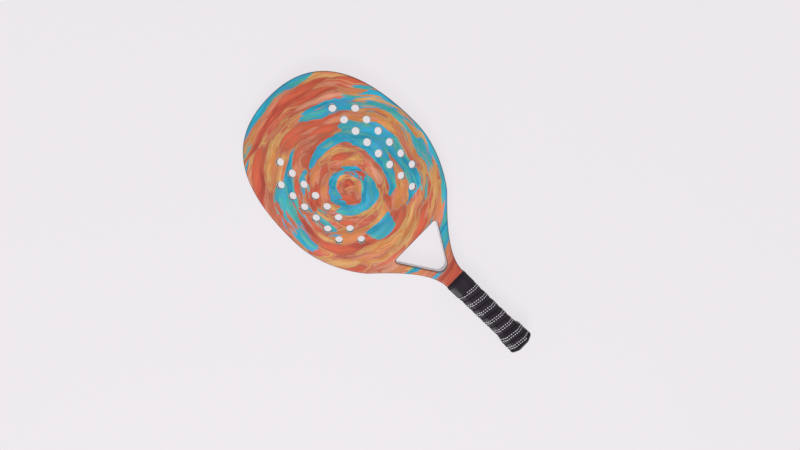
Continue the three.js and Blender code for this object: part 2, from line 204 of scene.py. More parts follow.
def select_only(piece):
    deselect()
    piece.select_set(True)
    bpy.context.view_layer.objects.active = piece


def add_to_scene(piece):
    bpy.context.scene.collection.objects.link(piece)


@contextmanager
def editing(piece, kind="VERT", test=None):
    """Edit a piece with everything selected, or only the edges or faces that pass a test."""
    select_only(piece)
    if test:
        bpy.ops.object.mode_set(mode="EDIT")
        bpy.ops.mesh.select_all(action="DESELECT")
        bpy.ops.object.mode_set(mode="OBJECT")
    bpy.context.tool_settings.mesh_select_mode = (kind == "VERT", kind == "EDGE", kind == "FACE")
    if test:
        for item in {"EDGE": piece.data.edges, "FACE": piece.data.polygons}[kind]:
            item.select = test(item)
    bpy.ops.object.mode_set(mode="EDIT")
    if not test:
        bpy.ops.mesh.select_all(action="SELECT")
    yield
    bpy.ops.object.mode_set(mode="OBJECT")


def extrude(x, y, z):
    bpy.ops.mesh.extrude_region_move(TRANSFORM_OT_translate={"value": (x, y, z)})


def face_outwards():
    bpy.ops.mesh.select_all(action="SELECT")
    bpy.ops.mesh.normals_make_consistent(inside=False)


def bevel_edges(piece, test, width, segments=1):
    with editing(piece, "EDGE", test):
        bpy.ops.mesh.bevel(offset=width, segments=segments, affect="EDGES")


def delete_faces(piece, test):
    with editing(piece, "FACE", test):
        bpy.ops.mesh.delete(type="FACE")


def near(value, target):
    return abs(value - target) < NEAR


def ends_of(piece, edge):
    return [piece.data.vertices[i].co for i in edge.vertices]


def apply_modifier(piece, kind, **settings):
    select_only(piece)
    bpy.ops.object.modifier_add(type=kind)
    modifier = piece.modifiers[-1]
    for name, value in settings.items():
        setattr(modifier, name, value)
    bpy.ops.object.modifier_apply(modifier=modifier.name)


def boolean(piece, tool, operation="DIFFERENCE", keep_tool=False):
    apply_modifier(piece, "BOOLEAN", object=tool, operation=operation, solver="EXACT")
    if not keep_tool:
        bpy.data.objects.remove(tool)


def copy_of(piece, name):
    twin = piece.copy()
    twin.data = piece.data.copy()
    twin.name = name
    add_to_scene(twin)
    return twin


def shade(piece, angle):
    """Smooth shading, apart from edges that turn more than an angle in degrees."""
    select_only(piece)
    bpy.ops.object.shade_smooth_by_angle(angle=math.radians(angle))


def smooth(piece, angle=35):
    """Smooth shading that leaves the flat faces flat."""
    shade(piece, angle)
    apply_modifier(piece, "WEIGHTED_NORMAL", keep_sharp=True)


def soften(piece, angle):
    """Round the edges that turn more than an angle in degrees, and shade the piece."""
    apply_modifier(
        piece, "BEVEL", width=SOFT_EDGE, segments=2, limit_method="ANGLE",
        angle_limit=math.radians(angle))
    smooth(piece, 40)


def freeze():
    """Move the active object's place, turn and size into its mesh."""
    bpy.ops.object.transform_apply(location=True, rotation=True, scale=True)
    return bpy.context.object


def block(low, high):
    """A plain box between two corners."""
    middle = (Vector(low) + Vector(high)) / 2
    size = Vector(high) - Vector(low)
    deselect()
    bpy.ops.mesh.primitive_cube_add(size=1, location=middle, scale=size)
    return freeze()


def cylinder(sides, radius, depth, place=(0, 0, 0), turn=(0, 0, 0)):
    deselect()
    bpy.ops.mesh.primitive_cylinder_add(
        vertices=sides, radius=radius, depth=depth, location=place, rotation=turn)
    return bpy.context.object


def mesh_object(name, places, faces):
    mesh = bpy.data.meshes.new(name)
    mesh.from_pydata([tuple(place) for place in places], [], faces)
    piece = bpy.data.objects.new(name, mesh)
    add_to_scene(piece)
    return piece


# Outlines seen from above

def outline_knots():
    """The body's outline as Bezier knots: place, handle before, handle after."""
    def at(across, along):
        return Vector((across, TIP - along * BODY_LENGTH))
    tip = at(0, 0)
    tip_pull = at(TIP_PULL_SHARE * HEAD_HALF, 0)
    widest = at(HEAD_HALF, WIDEST_SHARE)
    turn = at(TURN_SHARES[0] * HEAD_HALF, TURN_SHARES[1])
    neck = Vector((NECK_HALF, NECK))
    right = [
        (widest, at(HEAD_HALF, SHOULDER_SHARE), at(HEAD_HALF, HIP_SHARE)),
        (turn, at(LOWER_SHARES[0] * HEAD_HALF, LOWER_SHARES[1]),
         at(ARM_SHARES[0] * HEAD_HALF, ARM_SHARES[1])),
        (neck, at(NECK_HALF, NECK_SHARE), neck),
    ]

    def mirror(place):
        return Vector((-place.x, place.y))
    left = [(mirror(place), mirror(after), mirror(before)) for place, before, after in right]
    return [(tip, mirror(tip_pull), tip_pull)] + right + left[::-1]


def rounding(corners, i, radius):
    """The directions to a corner's two neighbours, its half angle and the centre of its arc."""
    corner = corners[i]
    before = (corners[i - 1] - corner).normalized()
    after = (corners[(i + 1) % len(corners)] - corner).normalized()
    half = before.angle(after) / 2
    return before, after, half, corner + (before + after).normalized() * radius / math.sin(half)


def throat_knots(margin):
    """The throat's outline, grown by a margin, as Bezier knots round its three corners."""
    half_width = THROAT_WIDTH_SHARE * HEAD_HALF
    top = TIP - THROAT_TOP_SHARE * BODY_LENGTH
    foot = TIP - THROAT_FOOT_SHARE * BODY_LENGTH
    corners = [Vector((half_width, top)), Vector((0, foot)), Vector((-half_width, top))]
    knots = []
    for i, radius in enumerate((THROAT_CORNER, THROAT_END, THROAT_CORNER)):
        before, after, half, centre = rounding(corners, i, radius)
        pull = 4 / 3 * math.tan((math.pi - 2 * half) / 4) * (radius + margin)
        for side in (before, after):
            touch = corners[i] + side * radius / math.tan(half)
            place = centre + (touch - centre) * (radius + margin) / radius
            towards = place - side * pull
            # The straight runs between corners need no pull
            knots.append((place, place, towards) if side is before else (place, towards, place))
    return knots


def closed_face(name, knots, level, steps=OUTLINE_STEPS):
    """A flat face inside a closed Bezier curve."""
    deselect()
    bpy.ops.curve.primitive_bezier_curve_add()
    curve = bpy.context.object
    curve.name = name
    spline = curve.data.splines[0]
    spline.bezier_points.add(len(knots) - len(spline.bezier_points))
    for point, (place, before, after) in zip(spline.bezier_points, knots):
        point.handle_left_type = point.handle_right_type = "FREE"
        point.co = place.to_3d()
        point.handle_left = before.to_3d()
        point.handle_right = after.to_3d()
    spline.use_cyclic_u = True
    curve.data.resolution_u = steps
    bpy.ops.object.convert(target="MESH")
    piece = bpy.context.object
    with editing(piece):
        bpy.ops.mesh.remove_doubles(threshold=MERGE_DISTANCE)
        bpy.ops.mesh.dissolve_limited(angle_limit=STRAIGHT)
        bpy.ops.mesh.select_all(action="SELECT")
        bpy.ops.mesh.edge_face_add()
        bpy.ops.transform.translate(value=(0, 0, level))
    return piece


def extrude_up(piece, height):
    """Turn a flat face into a solid plate."""
    with editing(piece):
        extrude(0, 0, height)
        face_outwards()


def throat_prism(margin, low, high):
    tool = closed_face("throat_tool", throat_knots(margin), low, THROAT_STEPS)
    extrude_up(tool, high - low)
    return tool


def inset_plate(name, inset, low, high, cut_at):
    """The body's plan drawn in by an inset, kept above a cut across the racket."""
    piece = closed_face(name, outline_knots(), low)
    with editing(piece, "FACE"):
        bpy.ops.mesh.inset(thickness=inset, depth=0)
        bpy.ops.mesh.select_all(action="INVERT")
        bpy.ops.mesh.delete(type="FACE")
        bpy.ops.mesh.select_all(action="SELECT")
        bpy.ops.mesh.bisect(plane_co=(0, cut_at, 0), plane_no=(0, 1, 0), clear_inner=True)
    with editing(piece):
        bpy.ops.mesh.delete_loose()
    extrude_up(piece, high - low)
    return piece


def hole_centres():
    """The middles of the holes, as places across and along the racket."""
    middle = TIP - HOLE_BANK_SHARE * BODY_LENGTH
    return [
        (side * (HOLE_ROW + row * HOLE_PITCH), middle - (i - (count - 1) / 2) * HOLE_PITCH)
        for row, count in enumerate(HOLE_COUNTS) for side in (-1, 1) for i in range(count)
    ]


def hole_drills(radius, low, high):
    """One cutting tool with a cylinder for every hole."""
    drills = [
        cylinder(HOLE_SIDES, radius, high - low, (x, y, (low + high) / 2))
        for x, y in hole_centres()
    ]
    for drill in drills:
        drill.select_set(True)
    bpy.ops.object.join()
    return freeze()


# Laminates

def face_laminate():
    """The front laminate: a thin sheet over the face that wraps round every edge."""
    top = MIDDLE + BODY_HALF
    lip = MIDDLE + FLANK_HALF
    sheet = closed_face("front_laminate", outline_knots(), lip)
    extrude_up(sheet, top - lip)
    boolean(sheet, throat_prism(0, lip - SHEET, top + SHEET))
    walls = {edge.key: [] for edge in sheet.data.edges}
    for face in sheet.data.polygons:
        for key in face.edge_keys:
            walls[key].append(face.normal)

    def rim(edge):
        ends = ends_of(sheet, edge)
        return (all(near(end.z, top) for end in ends)
                and not all(near(end.y, NECK) for end in ends)
                and any(abs(normal.z) < SLANTING for normal in walls[edge.key]))
    bevel_edges(sheet, rim, EDGE_RADIUS, EDGE_SEGMENTS)
    delete_faces(sheet, lambda face: face.normal.z < -SLANTING or (
        face.normal.y < -SQUARE and near(face.center.y, NECK)))
    apply_modifier(sheet, "SOLIDIFY", thickness=SHEET, offset=-1, use_even_offset=True)
    bevel_edges(
        sheet, lambda edge: all(near(end.z, lip) for end in ends_of(sheet, edge)), PARTING_CHAMFER)
    boolean(sheet, hole_drills(HOLE_RADIUS, lip, top + SHEET))
    soften_hole_rims(sheet, top)
    smooth(sheet)
    return sheet


def soften_hole_rims(sheet, top):
    centres = [Vector(centre) for centre in hole_centres()]

    def on_rim(edge):
        ends = ends_of(sheet, edge)
        return all(near(end.z, top) for end in ends) and any(
            all(near((end.to_2d() - centre).length, HOLE_RADIUS) for end in ends)
            for centre in centres)
    bevel_edges(sheet, on_rim, HOLE_RIM, 2)


def back_twin(front):
    """The back laminate: the front one turned over about the racket's long axis."""
    twin = copy_of(front, "back_laminate")
    with editing(twin):
        bpy.ops.transform.rotate(
            value=math.pi, orient_axis="Y", center_override=(0, 0, MIDDLE))
    return twin


# Frame: moulded in one, then parted where the real pieces meet

def moulded_frame():
    """The frame round the head, the bridge, both arms and the block, under the laminates."""
    flank_low = MIDDLE - FLANK_HALF
    flank_high = MIDDLE + FLANK_HALF
    body = closed_face("frame_tube_shell", outline_knots(), flank_low)
    extrude_up(body, flank_high - flank_low)
    step = CORE_HALF - FLANK_HALF - LAND_CHAMFER
    for direction in (1, -1):
        with editing(body, "FACE", lambda face: face.normal.z * direction > FACING):
            bpy.ops.mesh.inset(thickness=LIP_ROOM, depth=0)
            extrude(0, 0, direction * step)
            bpy.ops.mesh.inset(thickness=LAND_CHAMFER, depth=LAND_CHAMFER)
    boolean(body, throat_prism(0, CUT_LOW, CUT_HIGH))
    for margin, level in ((LIP_ROOM, FLANK_HALF), (LIP_ROOM + LAND_CHAMFER, FLANK_HALF + step)):
        boolean(body, throat_prism(margin, MIDDLE + level, CUT_HIGH))
        boolean(body, throat_prism(margin, CUT_LOW, MIDDLE - level))
    boolean(body, inset_plate("head_room", FRAME_WIDTH, CUT_LOW, CUT_HIGH, BRIDGE_HIGH.y))
    return body


def parted_frame():
    """The moulded frame, parted into the tube, the bridge and the throat block."""
    body = moulded_frame()
    bridge_box = block(
        (-BRIDGE_REACH, BRIDGE_LOW.y - BRIDGE_FEET, CUT_LOW),
        (BRIDGE_REACH, BRIDGE_HIGH.y + SHEET, CUT_HIGH))
    block_box = block(
        (BLOCK_LOW.x, NECK - SHEET, CUT_LOW), (BLOCK_HIGH.x, BLOCK_HIGH.y, CUT_HIGH))
    bridge = copy_of(body, "bridge_shell")
    boolean(bridge, bridge_box, "INTERSECT", keep_tool=True)
    foot = copy_of(body, "throat_block_shell")
    boolean(foot, block_box, "INTERSECT", keep_tool=True)
    boolean(body, bridge_box)
    boolean(body, block_box)
    for side in (-1, 1):
        boolean(body, frame_leg(side), "UNION")
    for piece in (body, bridge, foot):
        smooth(piece, 30)
    return body, bridge, foot


def frame_leg(side):
    """One leg of the tube, from the neck down into the cap."""
    inner, outer = sorted((side * LEG_INNER, side * LEG_OUTER))
    leg = block(
        (inner, CAP_LOW.y + LEG_FROM_BUTT, MIDDLE - CORE_HALF + SHEET),
        (outer, NECK + SHEET, MIDDLE + CORE_HALF - SHEET))

    def outer_edge(edge):
        ends = ends_of(leg, edge)
        return all(near(end.x, side * LEG_OUTER) for end in ends) and near(ends[0].z, ends[1].z)
    bevel_edges(leg, outer_edge, LEG_BEVEL)
    return leg


def foam_slab():
    """The foam core of the head, drilled right through."""
    slab = inset_plate(
        "foam_slab", FRAME_WIDTH + CORE_GAP, MIDDLE - CORE_HALF, MIDDLE + CORE_HALF,
        BRIDGE_HIGH.y + CORE_GAP)
    boolean(slab, hole_drills(HOLE_RADIUS + HOLE_FOAM_ROOM, CUT_LOW, CUT_HIGH))
    smooth(slab)
    return slab


# Handle

def flare_at(y):
    """How far the handle stands out of its straight section towards the butt."""
    share = min(max((FLARE_START - y) / FLARE_LENGTH, 0), 1)
    return FLARE_RISE * share * share * (3 - 2 * share)


def bevelled_corners(half_width, half_height, bevel):
    """The corners of a bevelled rectangle, from the middle of its top side towards -X."""
    x = half_width - bevel
    z = half_height - bevel
    return [
        (-x, half_height), (-half_width, z), (-half_width, -z), (-x, -half_height),
        (x, -half_height), (half_width, -z), (half_width, z), (x, half_height),
    ]


def way_round(place):
    return math.atan2(place[1], place[0]) % math.tau


def handle_solid(name, sections):
    """A bar along the handle. Each section is (place along Y, inset from the crown of the tape)."""
    first_y, first_inset = sections[0]
    half_width = GRIP_HALF_WIDTH - first_inset
    half_height = GRIP_HALF_HEIGHT - first_inset
    bevel = GRIP_BEVEL - (2 - math.sqrt(2)) * first_inset
    deselect()
    bpy.ops.mesh.primitive_circle_add(vertices=8, radius=GRIP_HALF_WIDTH, fill_type="NGON")
    piece = bpy.context.object
    piece.name = name
    ordered = sorted(piece.data.vertices, key=lambda vertex: way_round(vertex.co))
    ring = sorted(bevelled_corners(half_width, half_height, bevel), key=way_round)
    # A circle's corner on +X takes the ring's last corner, just before +X
    if way_round(ordered[0].co) < STRAIGHT:
        ring = ring[-1:] + ring[:-1]
    for vertex, (x, z) in zip(ordered, ring):
        vertex.co = (x, first_y, MIDDLE + z)
    with editing(piece):
        bpy.ops.mesh.bevel(
            offset=GRIP_CORNER * math.tan(math.pi / 8), segments=CORNER_SEGMENTS,
            affect="VERTICES")
    size = (half_width, half_height)
    at = first_y
    with editing(piece):
        for y, inset in sections[1:]:
            wanted = (GRIP_HALF_WIDTH - inset, GRIP_HALF_HEIGHT - inset)
            extrude(0, y - at, 0)
            bpy.ops.transform.resize(
                value=(wanted[0] / size[0], 1, wanted[1] / size[1]),
                center_override=(0, y, MIDDLE))
            at = y
            size = wanted
        face_outwards()
    return piece


def rubber_collar():
    """The collar over the head end of the tape, with a bead near its nose."""
    start = COLLAR_HIGH.y
    bead = start - BEAD_FROM_NOSE
    collar = handle_solid("rubber_collar", [
        (start, COLLAR_NOSE_DROP - COLLAR_STEP),
        (start - COLLAR_NOSE, -COLLAR_STEP),
        (bead, -COLLAR_STEP),
        (bead - BEAD_LENGTH / 4, -COLLAR_STEP - BEAD_RISE),
        (bead - BEAD_LENGTH * 3 / 4, -COLLAR_STEP - BEAD_RISE),
        (bead - BEAD_LENGTH, -COLLAR_STEP),
        (COLLAR_LOW.y, -COLLAR_STEP),
    ])
    delete_faces(collar, lambda face: abs(face.normal.y) > SQUARE and len(face.vertices) > 4)
    apply_modifier(collar, "SOLIDIFY", thickness=COLLAR_WALL, offset=-1, use_even_offset=True)
    soften(collar, 40)
    return collar


def end_cap():
    """The flared cap on the butt, with its rounded end and the hole for a wrist cord."""
    skirt = CAP_HIGH.y
    sections = [(skirt, TAPE_CORE), (FLARE_START, TAPE_CORE)]
    for step in range(1, CAP_STEPS):
        y = FLARE_START - FLARE_LENGTH * step / CAP_STEPS
        sections.append((y, TAPE_CORE - flare_at(y)))
    sections += [
        (FLARE_START - FLARE_LENGTH, TAPE_CORE - FLARE_RISE),
        (CAP_LIP, TAPE_CORE - FLARE_RISE),
        (CAP_LIP, -FLARE_RISE - CAP_LIP_RISE),
    ]
    depth = CAP_LIP - CAP_LOW.y
    lip_half = GRIP_HALF_WIDTH + FLARE_RISE + CAP_LIP_RISE
    for step in range(1, CAP_STEPS + 1):
        angle = CAP_ROUND_TURN * step / CAP_STEPS
        y = CAP_LIP - depth * math.sin(angle) / math.sin(CAP_ROUND_TURN)
        sections.append((y, GRIP_HALF_WIDTH - lip_half * math.cos(angle)))
    cap = handle_solid("end_cap", sections)
    inset = TAPE_CORE + CAP_WALL
    boolean(cap, handle_solid("socket", [
        (skirt + SHEET, inset), (CAP_LOW.y + CAP_END_WALL, inset)]))
    cylinder(
        CORD_HOLE_SIDES, CORD_HOLE, CORD_DRILL, (0, CAP_LOW.y, MIDDLE), (math.pi / 2, 0, 0))
    boolean(cap, freeze())
    soften(cap, 50)
    return cap


def ring_path():
    """The crown of the tape round the handle, from the middle of the front towards -X.

    Gives entries of (share of the way round, place, outward direction), and the length round.
    """
    front = (Vector((0, GRIP_HALF_HEIGHT)), Vector((0, 1)))
    corners = [
        Vector(corner)
        for corner in bevelled_corners(GRIP_HALF_WIDTH, GRIP_HALF_HEIGHT, GRIP_BEVEL)
    ]
    places = [front]
    for i, corner in enumerate(corners):
        before, _, half, centre = rounding(corners, i, GRIP_CORNER)
        start = Vector((before.y, -before.x))
        turn = math.pi - 2 * half
        if start.dot(corner) < 0:
            start = -start
        for step in range(CORNER_SEGMENTS + 1):
            angle = turn * step / CORNER_SEGMENTS
            outward = Matrix.Rotation(angle, 2) @ start
            places.append((centre + outward * GRIP_CORNER, outward))
    places.append(front)
    lengths = [0]
    for (here, _), (there, _) in zip(places, places[1:]):
        lengths.append(lengths[-1] + (there - here).length)
    return [
        (length / lengths[-1], place, outward) for length, (place, outward) in zip(lengths, places)
    ], lengths[-1]


RING, RING_LENGTH = ring_path()


def on_ring(share):
    """The place and the outward direction on the crown, a share of the way round."""
    share %= 1
    for (s0, p0, n0), (s1, p1, n1) in zip(RING, RING[1:]):
        if share <= s1:
            part = (share - s0) / (s1 - s0)
            return p0.lerp(p1, part), n0.lerp(n1, part).normalized()
    return RING[-1][1], RING[-1][2]


def climb_after(turns):
    """How far the middle of the tape has climbed towards the head after a number of turns."""
    gain = (TURN_ADVANCE - BUTT_TURN_ADVANCE) / (2 * SLOW_TURNS)
    slow = min(max(turns, 0), SLOW_TURNS)
    return (BUTT_TURN_ADVANCE * min(turns, SLOW_TURNS) + gain * slow * slow
            + TURN_ADVANCE * max(turns - SLOW_TURNS, 0))


def middle_line(turns):
    """Where the middle line of the tape lies along Y."""
    return FIRST_STITCH + climb_after(turns)


def tape_depth(offset, half):
    """How deep the tape's surface lies under its crown, at an offset from its middle line."""
    offset = abs(offset)
    depth = TAPE_CROWN * min(offset / half, 1) ** CROWN_POWER
    edge = max(0, offset - (half - TAPE_EDGE_ROLL)) / TAPE_EDGE_ROLL
    depth += TAPE_EDGE_ROLL * (1 - math.sqrt(max(0, 1 - min(edge, 1) ** 2)))
    depth += MIDDLE_GROOVE * math.exp(-(offset / MIDDLE_GROOVE_WIDTH) ** 2)
    depth += ROW_GROOVE * math.exp(-((offset - STITCH_ROWS) / ROW_GROOVE_WIDTH) ** 2)
    return depth


def tape_place(turns, y, depth):
    """A place on the tape: its turn, its place along the handle and its depth under the crown."""
    place, outward = on_ring(turns)
    reach = flare_at(y) - depth
    return Vector((place.x + outward.x * reach, y, MIDDLE + place.y + outward.y * reach))


def tape_ring(turns, low, high):
    """One section of the tape: its crowned outer side, then four places on its flat back."""
    middle = middle_line(turns)
    half = (climb_after(turns + 1 / 2) - climb_after(turns - 1 / 2) - TAPE_SEAM) / 2
    ring = []
    for step in range(ACROSS_STEPS + 1):
        # Closer together at the edges, where the surface turns
        share = (1 - math.cos(math.pi * step / ACROSS_STEPS)) / 2
        share = 0.5 * share + 0.5 * step / ACROSS_STEPS
        y = low + (high - low) * share
        depth = tape_depth(y - middle, half)
        ripple = noise.noise(Vector((turns * RIPPLES_PER_TURN, y / RIPPLE_LENGTH, RIPPLE_SEED)))
        depth += RIPPLE * (1 + ripple)
        end_room = min(y - low, high - y)
        roll = max(0, TAPE_EDGE_ROLL - end_room) / TAPE_EDGE_ROLL
        depth = max(depth, TAPE_EDGE_ROLL * roll * roll)
        ring.append(tape_place(turns, y, depth))
    for share in (1, 2 / 3, 1 / 3, 0):
        ring.append(tape_place(turns, low + (high - low) * share, TAPE_THICKNESS))
    return ring


def wound_tape():
    """One strip of tape, wound from the cap to the collar, with its first and last turn."""
    rings = []
    covered = []
    for station in itertools.count(FIRST_TURN * STATIONS_PER_TURN):
        turns = station / STATIONS_PER_TURN
        low = max(middle_line(turns - 1 / 2) + TAPE_SEAM / 2, TAPE_LOW.y)
        high = min(middle_line(turns + 1 / 2) - TAPE_SEAM / 2, TAPE_HIGH.y)
        if low > TAPE_HIGH.y:
            break
        if high - low >= TAPE_TIP:
            rings.append(tape_ring(turns, low, high))
            covered.append(turns)
    places = [place for ring in rings for place in ring]
    count = len(rings[0])
    last = len(places) - count
    faces = []
    for start in range(0, last, count):
        for i in range(count):
            a = start + i
            b = start + (i + 1) % count
            faces.append((a, a + count, b + count, b))
    faces += [tuple(range(count)), tuple(reversed(range(last, last + count)))]
    tape = mesh_object("wound_grip_tape", places, faces)
    with editing(tape):
        face_outwards()
    shade(tape, 45)
    return tape, covered[0], covered[-1]


def one_stitch():
    """A short plump stitch that lies along X, with its back on the surface."""
    cylinder(
        STITCH_SIDES, STITCH_WIDTH / 2, STITCH_LENGTH * STITCH_MIDDLE_SHARE,
        turn=(0, math.pi / 2, 0))
    stitch = freeze()
    for end in (-1, 1):
        with editing(stitch, "FACE", lambda face: face.normal.x * end > FACING):
            for reach, drop, size in STITCH_TAPER:
                extrude(end * STITCH_LENGTH * reach, 0, -STITCH_WIDTH * drop)
                bpy.ops.transform.resize(
                    value=(1, size, size),
                    center_override=(0, 0, -STITCH_WIDTH * STITCH_PIVOT_SHARE))
    with editing(stitch):
        face_outwards()
    return stitch


def stitch_turns(first, last):
    """The turns at which stitches fall, one pitch apart along the middle of the tape."""
    found = []
    turns = first
    here = tape_place(turns, middle_line(turns), 0)
    walked = STITCH_PITCH / 2
    while turns < last:
        turns += 1 / (4 * STATIONS_PER_TURN)
        there = tape_place(turns, middle_line(turns), 0)
        walked += (there - here).length
        here = there
        if walked >= STITCH_PITCH:
            walked -= STITCH_PITCH
            found.append(turns)
    return found


def tape_stitching(first, last):
    """Two rows of stitches beside the middle line of the tape, all the way up the handle."""
    stitch = one_stitch()
    shape = [vertex.co.copy() for vertex in stitch.data.vertices]
    shape_faces = [tuple(face.vertices) for face in stitch.data.polygons]
    bpy.data.objects.remove(stitch)
    places = []
    faces = []
    for turns in stitch_turns(first, last):
        climb = climb_after(turns + SLOPE_STEP) - climb_after(turns - SLOPE_STEP)
        slope = climb / (2 * SLOPE_STEP * RING_LENGTH)
        outward = on_ring(turns)[1]
        along = Vector((-outward.y, slope, outward.x)).normalized()
        up = Vector((outward.x, 0, outward.y))
        across = up.cross(along).normalized()
        for row in (-1, 1):
            y = middle_line(turns) + row * STITCH_ROWS
            if not TAPE_LOW.y + STITCH_WIDTH / 2 < y < TAPE_HIGH.y - STITCH_WIDTH / 2:
                continue
            at = tape_place(turns, y, ROW_GROOVE + STITCH_SINK)
            turned = (along + across * STITCH_LEAN * row).normalized()
            side = up.cross(turned)
            start = len(places)
            places += [at + turned * co.x + side * co.y + up * co.z for co in shape]
            faces += [tuple(start + i for i in face) for face in shape_faces]
    rows = mesh_object("grip_stitching", places, faces)
    shade(rows, 60)
    return rows


# Material helpers

def srgb(red, green, blue):
    """A colour as a picture shows it, 0 to 255, turned into Blender's linear light."""
    def linear(value):
        value /= 255
        return value / 12.92 if value <= 0.04045 else ((value + 0.055) / 1.055) ** 2.4
    return (linear(red), linear(green), linear(blue), 1)


def add_node(tree, kind, inputs=None, **settings):
    """Add a shader node. Inputs, by name or number, are values or sockets to link."""
    made = tree.nodes.new("ShaderNode" + kind)
    for name, value in settings.items():
        setattr(made, name, value)
    for key, value in (inputs or {}).items():
        if isinstance(value, bpy.types.NodeSocket):
            tree.links.new(value, made.inputs[key])
        else:
            made.inputs[key].default_value = value
    return made


def math_node(tree, operation, first, second=0.0):
    return add_node(tree, "Math", {0: first, 1: second}, operation=operation).outputs[0]


def times(tree, first, second):
    return math_node(tree, "MULTIPLY", first, second)


def plus(tree, first, second):
    return math_node(tree, "ADD", first, second)


def vector_node(tree, operation, first, second):
    return add_node(tree, "VectorMath", {0: first, 1: second}, operation=operation).outputs[0]


def length_of(tree, vector):
    return add_node(tree, "VectorMath", {0: vector}, operation="LENGTH").outputs["Value"]


def separate(tree, vector):
    return add_node(tree, "SeparateXYZ", {0: vector}).outputs


def combine(tree, x, y, z=0.0):
    return add_node(tree, "CombineXYZ", {0: x, 1: y, 2: z}).outputs[0]


def blend_colours(tree, share, first, second, mode="MIX"):
    return add_node(
        tree, "Mix", {0: share, 6: first, 7: second}, data_type="RGBA", blend_type=mode).outputs[2]


def ease(tree, value, low, high, to_low=0.0, to_high=1.0):
    """A soft step: to_low below the low value, to_high above the high one."""
    return add_node(
        tree, "MapRange", {0: value, 1: low, 2: high, 3: to_low, 4: to_high},
        interpolation_type="SMOOTHSTEP").outputs[0]


def moved(tree, place, offset, scale):
    return add_node(
        tree, "Mapping", {"Vector": place, "Location": offset, "Scale": scale}).outputs[0]


def noise_at(tree, place, scale, detail, roughness=0.5):
    """The outputs of a noise: its value first, then its colour."""
    return add_node(tree, "TexNoise", {
        "Vector": place, "Scale": scale, "Detail": detail, "Roughness": roughness}).outputs


def stretched_noise(tree, place, scale, offset, detail, roughness=0.5):
    """Noise on a coordinate that is stretched, which gives strokes instead of spots."""
    return noise_at(tree, moved(tree, place, offset, scale), 1.0, detail, roughness)[0]


def colour_ramp(tree, value, stops):
    """A ramp of colours. Each stop is (value, red, green, blue), the colour as for srgb."""
    made = add_node(tree, "ValToRGB", {0: value})
    elements = made.color_ramp.elements
    while len(elements) < len(stops):
        elements.new(1.0)
    for element, (place, *colour) in zip(elements, stops):
        element.position = place
        element.color = srgb(*colour)
    return made.outputs[0]


# Group sockets that hold anything but a number
SOCKET_KINDS = {"Vector": "Vector", "Centre": "Vector", "Color": "Color"}


def new_group(name, inputs, outputs):
    """A node group: its tree, the sockets inside that give its inputs, its output node."""
    tree = bpy.data.node_groups.new(name, "ShaderNodeTree")
    for direction, sockets in (("INPUT", inputs), ("OUTPUT", outputs)):
        for socket in sockets:
            kind = "NodeSocket" + SOCKET_KINDS.get(socket, "Float")
            tree.interface.new_socket(socket, in_out=direction, socket_type=kind)
    return tree, tree.nodes.new("NodeGroupInput").outputs, tree.nodes.new("NodeGroupOutput")


def give(tree, out, **results):
    """Link a group's results to its outputs, and give the group."""
    for name, value in results.items():
        tree.links.new(value, out.inputs[name])
    return tree


def use_group(tree, group, inputs):
    return add_node(tree, "Group", inputs, node_tree=group)


def new_material(name, **values):
    """A material with a Principled shader: the material, its tree, shader and coordinates."""
    material = bpy.data.materials.new(name)
    material.use_nodes = True
    tree = material.node_tree
    shader = tree.nodes["Principled BSDF"]
    for key, value in values.items():
        shader.inputs[key.replace("_", " ")].default_value = value
    place = add_node(tree, "TexCoord").outputs["Object"]
    return material, tree, shader, place


def tint(tree, shader, share, first, second):
    """A base colour that goes from the first to the second with a share."""
    tree.links.new(blend_colours(tree, share, first, second), shader.inputs["Base Color"])


def bump(tree, shader, height, distance, strength):
    made = add_node(tree, "Bump", {
        "Strength": strength, "Distance": distance, "Height": height})
    tree.links.new(made.outputs[0], shader.inputs["Normal"])


# Shared node groups

DRUM_POINT = 30 * MM


def make_stroke_group():
    """Bends a flat pattern into brush strokes that run round a centre.

    Gives a place on a drum, whose height is the distance from the centre, and that distance.
    """
    tree, given, out = new_group(
        "round_strokes", ("Vector", "Centre", "Twist", "Drift"), ("Vector", "Radius"))
    flat = vector_node(tree, "MULTIPLY", given["Vector"], (1, 1, 0))
    place = flat
    # Broad drift, and a fifth as much in finer waves
    for scale, share in ((13.0, 1.0), (55.0, 0.2)):
        drift = vector_node(
            tree, "SUBTRACT", noise_at(tree, flat, scale, 1.0)["Color"], (0.5, 0.5, 0.5))
        drift = add_node(tree, "VectorMath", {
            0: drift, "Scale": times(tree, given["Drift"], share)}, operation="SCALE").outputs[0]
        place = vector_node(tree, "ADD", place, drift)
    ends = separate(tree, vector_node(tree, "SUBTRACT", place, given["Centre"]))
    radius = length_of(tree, combine(tree, ends[0], ends[1]))
    angle = plus(
        tree, math_node(tree, "ARCTAN2", ends[1], ends[0]), times(tree, radius, given["Twist"]))
    # The drum narrows to a point at the centre, where strokes from all sides meet
    wide = math_node(tree, "SQRT", plus(tree, times(tree, radius, radius), DRUM_POINT ** 2))
    spread = math_node(tree, "DIVIDE", radius, wide)
    drum = combine(
        tree, times(tree, math_node(tree, "COSINE", angle), spread),
        times(tree, math_node(tree, "SINE", angle), spread), radius)
    return give(tree, out, Vector=drum, Radius=radius)


def daubs(tree, place, around, along, offset):
    """Patches of paint, each with a value of its own: the value and the height of the paint."""
    cells = add_node(tree, "TexVoronoi", {
        "Vector": moved(tree, place, offset, (around, around, along)), "Scale": 1.0,
        "Smoothness": 0.3}, feature="SMOOTH_F1")
    value = add_node(tree, "SeparateColor", {0: cells.outputs["Color"]}).outputs[0]
    return value, cells.outputs["Distance"]


